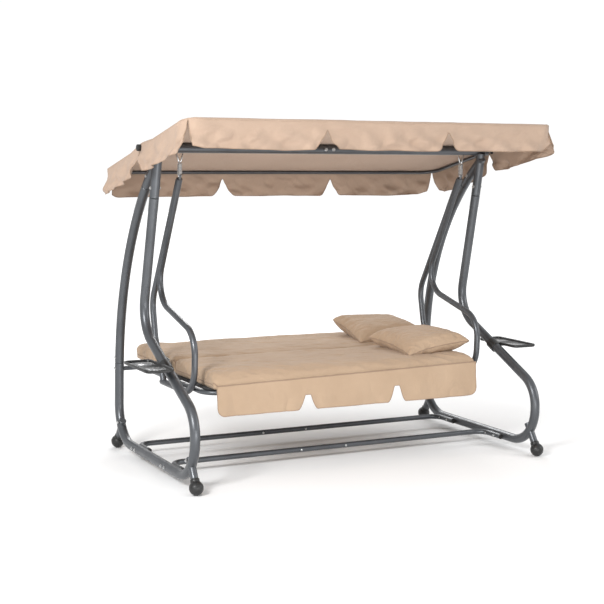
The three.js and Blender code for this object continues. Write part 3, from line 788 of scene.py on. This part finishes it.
def inflate(obj, voxel, cap, floor):
    """Cloth pressure swells a padded piece; it moves no more than cap and stays above floor."""
    scene = bpy.context.scene
    mesher = obj.modifiers.new("remesh", "REMESH")
    mesher.mode = "VOXEL"
    mesher.voxel_size = voxel
    mesher.use_smooth_shade = True
    mesh = evaluated_mesh(obj)
    obj.modifiers.remove(mesher)
    old_material = obj.data.materials[0]
    obj.data = mesh
    mesh.materials.clear()
    mesh.materials.append(old_material)
    count = len(mesh.vertices)
    before = np.empty(count * 3)
    mesh.vertices.foreach_get("co", before)
    cloth = obj.modifiers.new("cloth", "CLOTH")
    settings = cloth.settings
    settings.quality = 5
    settings.mass = 0.25
    settings.tension_stiffness = 12
    settings.compression_stiffness = 12
    settings.shear_stiffness = 6
    settings.bending_stiffness = 0.4
    settings.use_pressure = True
    settings.uniform_pressure_force = PRESSURE
    settings.effector_weights.gravity = 0
    cloth.collision_settings.use_collision = False
    cloth.collision_settings.use_self_collision = False
    cloth.point_cache.frame_start = 1
    cloth.point_cache.frame_end = SWELL_FRAMES
    for step in range(1, SWELL_FRAMES + 1):
        scene.frame_set(step)
    swollen = evaluated_mesh(obj)
    after = np.empty(count * 3)
    swollen.vertices.foreach_get("co", after)
    obj.modifiers.remove(cloth)
    move = (after - before).reshape(-1, 3)
    reach = np.linalg.norm(move, axis=1, keepdims=True)
    move *= np.minimum(1.0, cap / np.maximum(reach, 1e-9))
    placed = before.reshape(-1, 3) + move
    placed[:, 2] = np.maximum(placed[:, 2], floor)
    mesh.vertices.foreach_set("co", placed.ravel())
    mesh.update()
    scene.frame_set(1)


def crease(obj, amount, size):
    """Wrinkles of stuffed cloth, slanting across the piece, from noise in its own space."""
    normals = [vertex.normal.copy() for vertex in obj.data.vertices]
    for vertex, normal in zip(obj.data.vertices, normals):
        where = Vector((vertex.co.x * 0.55, vertex.co.y * 1.5 + vertex.co.x * 0.5, vertex.co.z)) / size
        wrinkle = 1 - 2.2 * abs(noise.fractal(where, 0.9, 2.1, 4))
        vertex.co += normal * wrinkle * amount
    obj.data.update()


def soften(obj):
    mod = obj.modifiers.new("fine", "SUBSURF")
    mod.levels = 1
    mod.render_levels = 1


def seam(name, pad, rim_points, radius, body):
    """Piping laid on the swollen pad where its two halves are sewn together."""
    middle = sum(rim_points, Vector()) / len(rim_points)
    laid = []
    for point in rim_points:
        away = point - middle
        away.z = 0
        _, spot, _, _ = pad.closest_point_on_mesh(point + away.normalized() * 0.02)
        laid.append(spot)
    cord = thread_run(name, laid, radius, PIPING, closed=True)
    place(cord, body, "cushion_fabric")


def round_off(distance, radius):
    """0 at a pad's rim, 1 where its full thickness is reached."""
    inward = min(max(distance / radius, 0.0), 1.0)
    return math.sqrt(max(0.0, 1 - (1 - inward) ** 2))


SLING_TOP = 0.4292
RIM_Z = 0.456
# Share of the front slope lost from the left end to the middle, and again from there to the right end.
FRONT_RISE = 0.32


def mattress(name, node, body, front_round, rear_round, rim_drop):
    """One boxed cushion: rounding of its front and rear edges, and how far its front edge slopes down."""
    low, high = span(node)
    half_x = (high.x - low.x) / 2 + 0.012
    half_y = (high.y - low.y) / 2
    middle_y = (high.y + low.y) / 2

    def surface_at(x, y, u, v, side):
        ends = round_off(half_x - abs(x), 0.024)
        fall = (round_off(y + half_y, front_round) * round_off(half_y - y, rear_round) * ends) ** 0.7
        slope = (1 - round_off(y + half_y, 0.12)) * (1 - FRONT_RISE * (x / half_x + 1))
        crown = 0.006 * (1 - u ** 4) * (1 - v ** 4)
        top = high.z + crown - rim_drop * slope
        near_corner = math.hypot(half_x - abs(x), y + half_y)
        spoke = math.atan2(y + half_y, half_x - abs(x))
        pucker = 0.007 * math.sin(spoke * 22) * math.exp(-(near_corner / 0.13) ** 2)
        waves = 0.005 * noise.fractal(Vector((x * 3.2, y * 9.0, half_y * 40)), 1.0, 2.0, 3)
        base = RIM_Z - rim_drop * 0.35 * slope
        if side > 0:
            return Vector((x, middle_y + y, base + (top + pucker + waves - base) * fall))
        return Vector((x, middle_y + y, base + (SLING_TOP - base) * fall ** 0.5))

    vertices, faces, rim = pad_surface(half_x, half_y, 0.035, (190, 90), surface_at)
    pad = fix_normals(new_object(name, vertices, faces, FABRIC))
    inflate(pad, 0.0095, 0.006, SLING_TOP)
    crease(pad, 0.0038, 0.085)
    soften(pad)
    place(pad, body, "cushion_fabric", node)
    seam(f"{name}_piping", pad, rim, 0.0024, body)
    return pad


mattress("seat_mattress", "seat_cushion", "swing", 0.055, 0.014, 0.048)
mattress("backrest_mattress", "back_cushion", "backrest", 0.014, 0.035, 0.0)


PILLOW_HALF = 0.205


def pillow(name, node, body, turn, corner_lift):
    """Knife-edge scatter pillow: hollow sides, pointed corners, each corner lifted or dropped."""
    low, high = span(node)
    centre = (low + high) / 2
    height = (high.z - low.z) / 2
    turned = Matrix.Rotation(math.radians(turn), 3, "Z")

    def surface_at(x, y, u, v, side):
        pull_x = 1 - 0.085 * (1 - v * v) * abs(u) ** 3
        pull_y = 1 - 0.085 * (1 - u * u) * abs(v) ** 3
        body_x = max(0.0, 1 - abs(u) ** 3) ** 0.5
        body_y = max(0.0, 1 - abs(v) ** 3) ** 0.5
        lift = 0.0
        for (way_x, way_y), amount in corner_lift.items():
            lift += amount * ((1 + way_x * u) / 2) ** 2 * ((1 + way_y * v) / 2) ** 2
        ripple = 0.005 * math.sin(math.atan2(abs(v), abs(u)) * 18) * (abs(u) * abs(v)) ** 1.5
        z = side * height * body_x * body_y + lift + ripple * min(1.0, body_x * body_y * 4)
        point = turned @ Vector((x * pull_x, y * pull_y, z)) + centre
        point.z = max(point.z, low.z + 0.005)
        return point

    vertices, faces, rim = pad_surface(PILLOW_HALF, PILLOW_HALF, 0.012, (72, 72), surface_at)
    cushion = fix_normals(new_object(name, vertices, faces, FABRIC))
    inflate(cushion, 0.006, 0.007, low.z + 0.0045)
    crease(cushion, 0.0034, 0.08)
    soften(cushion)
    place(cushion, body, "cushion_fabric", node)
    seam(f"{name}_piping", cushion, rim, 0.0022, body)


pillow("front_scatter_pillow", "pillow_front", "front_pillow", 4,
       {(-1, -1): -0.052, (1, -1): 0.006, (-1, 1): 0.004, (1, 1): 0.018})
pillow("rear_scatter_pillow", "pillow_rear", "rear_pillow", -4,
       {(-1, -1): -0.050, (1, -1): 0.0, (-1, 1): 0.044, (1, 1): 0.030})


# ---- hanging cloth
def bell(distance, width, top=0.0):
    """1 over the top of a notch, easing to 0 at its width."""
    q = min(max(abs(distance) / width - top, 0.0) / (1 - top), 1.0)
    return (1 - q) ** 1.8


def hang(columns, rows):
    """Cloth hanging in columns: columns[i](t) gives the point at t from 0, the top, to 1, the hem."""
    vertices = [column(row / rows) for column in columns for row in range(rows + 1)]
    faces = [(a, b, c, d) for a, d, c, b in grid_faces(rows, len(columns) - 1)]
    return vertices, faces


skirt_low, skirt_high = span("seat_skirt")
SKIRT_NOTCHES = ((-0.255, 0.074), (0.257, 0.084))
skirt_drop = skirt_high.z - skirt_low.z
skirt_face = skirt_low.y + 0.0015
SKIRT_RISE = 0.028  # the skirt's seam climbs this much towards the right end
SKIRT_CORNER = 0.040


def skirt_column(x):
    end = skirt_high.x - abs(x)
    rise_here = 0.5 * SKIRT_RISE * (x / skirt_high.x + 1)
    drop = skirt_drop + rise_here - SKIRT_CORNER * (1 - round_off(end, SKIRT_CORNER))
    for middle, rise in SKIRT_NOTCHES:
        drop -= rise * bell(x - middle, 0.056, 0.28)

    def at(t):
        fall = drop * t
        wave = noise.fractal(Vector((x * 5.5, fall * 4.0, 2.0)), 1.0, 2.0, 3)
        y = skirt_face - 0.004 * t - 0.014 * abs(wave) * fall / skirt_drop
        return Vector((x, y, skirt_high.z + rise_here - fall))
    return at


skirt_x = [skirt_high.x * (i / 190 - 1) for i in range(381)]
skirt_columns = [skirt_column(x) for x in skirt_x]
skirt = new_object("seat_valance", *hang(skirt_columns, 22), FABRIC)
place(skirt, "swing", "cushion_fabric", "seat_skirt")
hem_path = [skirt_columns[0](t / 20) for t in range(20)]
hem_path += [column(1.0) for column in skirt_columns]
hem_path += [skirt_columns[-1](1 - t / 20) for t in range(1, 21)]
skirt_hem = thread_run("seat_valance_hem", hem_path, 0.0019, PIPING)
skirt_seam = thread_run("seat_valance_seam", [column(0.0) for column in skirt_columns], 0.0023, PIPING)
for cord in (skirt_hem, skirt_seam):
    place(cord, "swing", "cushion_fabric")

# ---- canopy
CANOPY_X = 1.010
CANOPY_FRONT = -0.566
CANOPY_REAR = 0.588
CANOPY_SLOPE = -0.216
CANOPY_BEND = 0.090
CANOPY_Z = BEAM_Z + 0.001


def rail_z(y):
    return CANOPY_Z + CANOPY_SLOPE * y


def rail_corner(x, y):
    return bench_point(x, y, rail_z(y))


loop = rounded_path([
    (rail_corner(0, CANOPY_FRONT), 0),
    (rail_corner(CANOPY_X, CANOPY_FRONT), CANOPY_BEND),
    (rail_corner(CANOPY_X, CANOPY_REAR), CANOPY_BEND),
    (rail_corner(-CANOPY_X, CANOPY_REAR), CANOPY_BEND),
    (rail_corner(-CANOPY_X, CANOPY_FRONT), CANOPY_BEND),
    (rail_corner(-0.001, CANOPY_FRONT), 0),
])
rail_tube = tube_mesh(loop, CANOPY_TUBE, sides=24, closed=True)
rails = fix_normals(new_object("canopy_rails", *rail_tube, STEEL))
place(rails, "canopy", "painted_tube", "canopy_frame")

DROP = 0.134
EDGE = CANOPY_TUBE + 0.0020
OUT_X = CANOPY_X + EDGE
OUT_FRONT = CANOPY_FRONT - EDGE
OUT_REAR = CANOPY_REAR + EDGE
MID_Y = (OUT_FRONT + OUT_REAR) / 2
HALF_Y = (OUT_REAR - OUT_FRONT) / 2
RIDGE = 0.0270
FRONT_NOTCHES = ((-0.307, 0.090), (0.361, 0.088))
REAR_NOTCHES = ((-0.334, 0.095), (0.334, 0.095))
SIDE_NOTCHES = ((0.020, 0.100),)
# At each corner, front left, front right, rear right and rear left: half the width of the slit, how far
# the hem stands out, and how much shorter the flap is.
SLIT_HALF = (0.026, 0.009, 0.024, 0.026)
FLARE = (0.026, 0.012, 0.020, 0.026)
CORNER_LIFT = (0.016, 0.050, 0.020, 0.016)


def roof_z(x, y):
    """Cloth pulled over the front rail, the beam and the rear rail, sagging a little between them. Its
    side edges lie on the side rails."""
    if y < 0:
        part = min(1.0, y / CANOPY_FRONT)
        support = rail_z(CANOPY_FRONT) + EDGE
        reach = -CANOPY_FRONT
    else:
        part = min(1.0, y / CANOPY_REAR)
        support = rail_z(CANOPY_REAR) + EDGE
        reach = CANOPY_REAR
    straight_z = BEAM_Z + RIDGE + (support - BEAM_Z - RIDGE) * part
    side_pull = 1 - min(1.0, abs(x) / CANOPY_X) ** 5
    sag = 0.016 * reach * math.sin(math.pi * part) * side_pull
    side_z = rail_z(y) + EDGE
    side_z += (straight_z - side_z) * max(0.0, 1 - abs(y) / 0.14) ** 0.7
    lean_in = min(1.0, abs(x) / CANOPY_X) ** 10
    ripple = 0.0016 * noise.fractal(Vector((x * 6.0, y * 3.0, 5.0)), 1.0, 2.0, 3)
    z = straight_z * (1 - lean_in) + side_z * lean_in
    return z - sag + max(ripple, -0.0004) * side_pull


cells_x, cells_y = 240, 140
roof = []
for j in range(cells_y + 1):
    for i in range(cells_x + 1):
        x, y = rounded_square(i / cells_x * 2 - 1, j / cells_y * 2 - 1, OUT_X, HALF_Y, CANOPY_BEND + EDGE)
        y += MID_Y
        edge = min(OUT_X - abs(x), y - OUT_FRONT, OUT_REAR - y)
        tuck = 0.006 * max(0.0, 1 - edge / 0.011) ** 2
        roof.append(bench_point(x, y, roof_z(x, y) - tuck))
border = [j * (cells_x + 1) + i for i, j in rim_cells(cells_x, cells_y)]
corner_steps = (0, cells_x, cells_x + cells_y, 2 * cells_x + cells_y, len(border))
lengths = [0.0]
for k in range(len(border)):
    lengths.append(lengths[-1] + (roof[border[(k + 1) % len(border)]] - roof[border[k]]).length)


def valance_column(k):
    """The cloth that hangs from rim point k: at(t) goes from the rim, t = 0, to the hem, t = 1."""
    top = roof[border[k]]
    before = roof[border[k - 1]]
    after = roof[border[(k + 1) % len(border)]]
    run = (after - before).normalized()
    outward = Vector((run.y, -run.x, 0)).normalized()
    to_slit, corner = min((abs(lengths[k] - lengths[step]), i % 4) for i, step in enumerate(corner_steps))
    flap = sum(1 for step in corner_steps[1:] if k >= step)
    y = top.y - BEAM_Y
    place_along = y if flap in (1, 3) else top.x
    notches = {0: FRONT_NOTCHES, 2: REAR_NOTCHES}.get(flap, SIDE_NOTCHES)
    drop = DROP * (0.03 + 0.97 * min(1.0, (to_slit / SLIT_HALF[corner]) ** 0.8))
    drop -= CORNER_LIFT[corner] * max(0.0, 1 - to_slit / 0.085) ** 2
    drop += 0.006 * noise.fractal(Vector((lengths[k] * 3.0, 4.0, 1.0)), 1.0, 2.0, 2)
    for middle, rise in notches:
        drop -= rise * bell(place_along - middle, 0.072, 0.04)
    drop = max(drop, 0.004)
    loose = math.exp(-to_slit / 0.11)
    flare = 0.008 + FLARE[corner] * loose

    def at(t):
        fall = drop * t
        down = fall / DROP
        wide = noise.fractal(Vector((lengths[k] * 4.2 + down * 0.9, down * 0.9, flap * 7.0)), 1.0, 2.0, 3)
        fine = noise.fractal(Vector((lengths[k] * 13.0 + down * 2.2, down * 1.2, 9.0)), 1.0, 2.0, 2)
        fold = math.sin((lengths[k] + fall * 0.8) * 55.0) * math.exp(-(to_slit / 0.17) ** 2)
        swag = math.sin((lengths[k] - fall * 1.4) * 34.0 + wide * 3.0)
        out = flare * down ** 1.3 + 0.032 * wide * down + 0.018 * fine * down
        out += 0.007 * fold * down + 0.010 * swag * down
        return top + outward * max(out, 0.0005 - 0.004 * down) - Vector((0, 0, fall))
    return at


rows = 16
columns = [valance_column(k) for k in range(len(border))]
vertices = list(roof)
faces = grid_faces(cells_x, cells_y)
index = {}
for k in range(len(border)):
    index[k, 0] = border[k]
    for row in range(1, rows + 1):
        index[k, row] = len(vertices)
        vertices.append(columns[k](row / rows))
for k in range(len(border)):
    after = (k + 1) % len(border)
    for row in range(rows):
        faces.append((index[k, row], index[k, row + 1], index[after, row + 1], index[after, row]))
canopy = fix_normals(new_object("canopy_cover", vertices, faces, CANVAS))
place(canopy, "canopy", "canvas", "canopy_cloth")
canopy_hem = thread_run("canopy_hem", [column(1.0) for column in columns], 0.0020, PIPING, closed=True)
canopy_seam = thread_run("canopy_seam", [column(0.04) for column in columns], 0.0012, CANVAS, closed=True)
for cord in (canopy_hem, canopy_seam):
    place(cord, "canopy", "canvas")

for sign, end in SIDES:
    low, high = span(f"tilt_knob_{end}")
    inner_x = low.x if sign > 0 else high.x
    outer_x = high.x if sign > 0 else low.x
    steps = [(0.0, 0.005), (0.026, 0.005), (0.027, 0.0155), (0.029, 0.0168), (0.043, 0.0168),
             (0.0465, 0.0155), (0.048, 0.012)]
    sides = 48
    vertices = []
    for along, size in steps:
        for k in range(sides):
            angle = 2 * math.pi * k / sides
            grip = size - (0.0012 if size > 0.015 and k % 4 in (0, 1) else 0.0)
            x = inner_x + (outer_x - inner_x) * along / steps[-1][0]
            vertices.append(bench_point(x, grip * math.cos(angle), BEAM_Z + grip * math.sin(angle)))
    faces = ring_faces(len(steps), sides)
    faces += [tuple(range(sides)), tuple(range((len(steps) - 1) * sides, len(steps) * sides))]
    knob = crisp(f"canopy_knob_{end}", [(vertices, faces)], BLACK, 40)
    place(knob, f"knob_{end}", "black_plastic", f"tilt_knob_{end}")

# ---- room, light and camera
bpy.ops.mesh.primitive_plane_add(size=60, location=(0, 0, -0.0005))
floor = bpy.context.active_object
floor.name = "studio_floor"
floor_mat, floor_shader, add, link = material("studio_floor")
floor_shader.inputs["Base Color"].default_value = (0.94, 0.94, 0.94, 1)
floor_shader.inputs["Roughness"].default_value = 0.9
# Seen from the camera, the floor fades to white away from the bench, so that no horizon shows.
where = add("ShaderNodeTexCoord")
reach = add("ShaderNodeVectorMath", operation="LENGTH")
fade = add("ShaderNodeMapRange", **{"From Min": 2.0, "From Max": 9.0, "To Min": 0.0, "To Max": 0.6})
seen = add("ShaderNodeLightPath")
glow = add("ShaderNodeMath", operation="MULTIPLY")
link(where.outputs["Object"], reach.inputs[0])
link(reach.outputs["Value"], fade.inputs["Value"])
link(fade.outputs["Result"], glow.inputs[0])
link(seen.outputs["Is Camera Ray"], glow.inputs[1])
link(glow.outputs["Value"], floor_shader.inputs["Emission Strength"])
floor_shader.inputs["Emission Color"].default_value = (1.0, 1.0, 1.0, 1)
floor.data.materials.append(floor_mat)

world = bpy.data.worlds.new("soft_white")
bpy.context.scene.world = world
world.use_nodes = True
sky = world.node_tree
sky.nodes["Background"].inputs["Color"].default_value = (1.0, 1.0, 1.0, 1)
# The background looks WHITER to the camera than the light that it gives.
SKY_LIGHT = 0.75
WHITER = 0.28
seen = sky.nodes.new("ShaderNodeLightPath")
brighter = sky.nodes.new("ShaderNodeMath")
brighter.operation = "MULTIPLY_ADD"
brighter.inputs[1].default_value = WHITER
brighter.inputs[2].default_value = SKY_LIGHT
sky.links.new(seen.outputs["Is Camera Ray"], brighter.inputs[0])
sky.links.new(brighter.outputs["Value"], sky.nodes["Background"].inputs["Strength"])


def soft_light(name, place_at, target, size, power):
    data = bpy.data.lights.new(name, "AREA")
    data.shape = "RECTANGLE"
    data.size, data.size_y = size
    data.energy = power
    lamp = bpy.data.objects.new(name, data)
    bpy.context.scene.collection.objects.link(lamp)
    lamp.location = place_at
    lamp.rotation_euler = (Vector(target) - Vector(place_at)).to_track_quat("-Z", "Y").to_euler()


soft_light("key", (-4.6, -3.4, 3.4), (0, 0, 0.8), (1.6, 1.4), 260)
soft_light("fill", (4.4, -3.0, 2.4), (0, 0, 0.8), (2.4, 2.4), 55)
soft_light("bounce", (-0.6, -3.4, 0.25), (0.2, 0.2, 1.5), (2.6, 0.8), 34)
soft_light("rim", (1.5, 4.5, 3.4), (0, 0, 1.0), (3.0, 1.5), 110)

CAMERA_AT = Vector((-3.187, -6.235, 1.548))
YAW = math.radians(26.52)
PITCH = math.radians(6.21)
ROLL = math.radians(0.35)
forward = Vector((math.sin(YAW) * math.cos(PITCH), math.cos(YAW) * math.cos(PITCH), -math.sin(PITCH)))
level = Vector((math.cos(YAW), -math.sin(YAW), 0))
upright = level.cross(forward)
right = level * math.cos(ROLL) + upright * math.sin(ROLL)
up = right.cross(forward)
lens = bpy.data.cameras.new("camera")
lens.lens = 78.6
lens.sensor_width = 36
camera = bpy.data.objects.new("camera", lens)
bpy.context.scene.collection.objects.link(camera)
turn = Matrix((right, up, -forward)).transposed()
camera.matrix_world = Matrix.Translation(CAMERA_AT) @ turn.to_4x4()
bpy.context.scene.camera = camera
bpy.context.scene.view_settings.view_transform = "Standard"
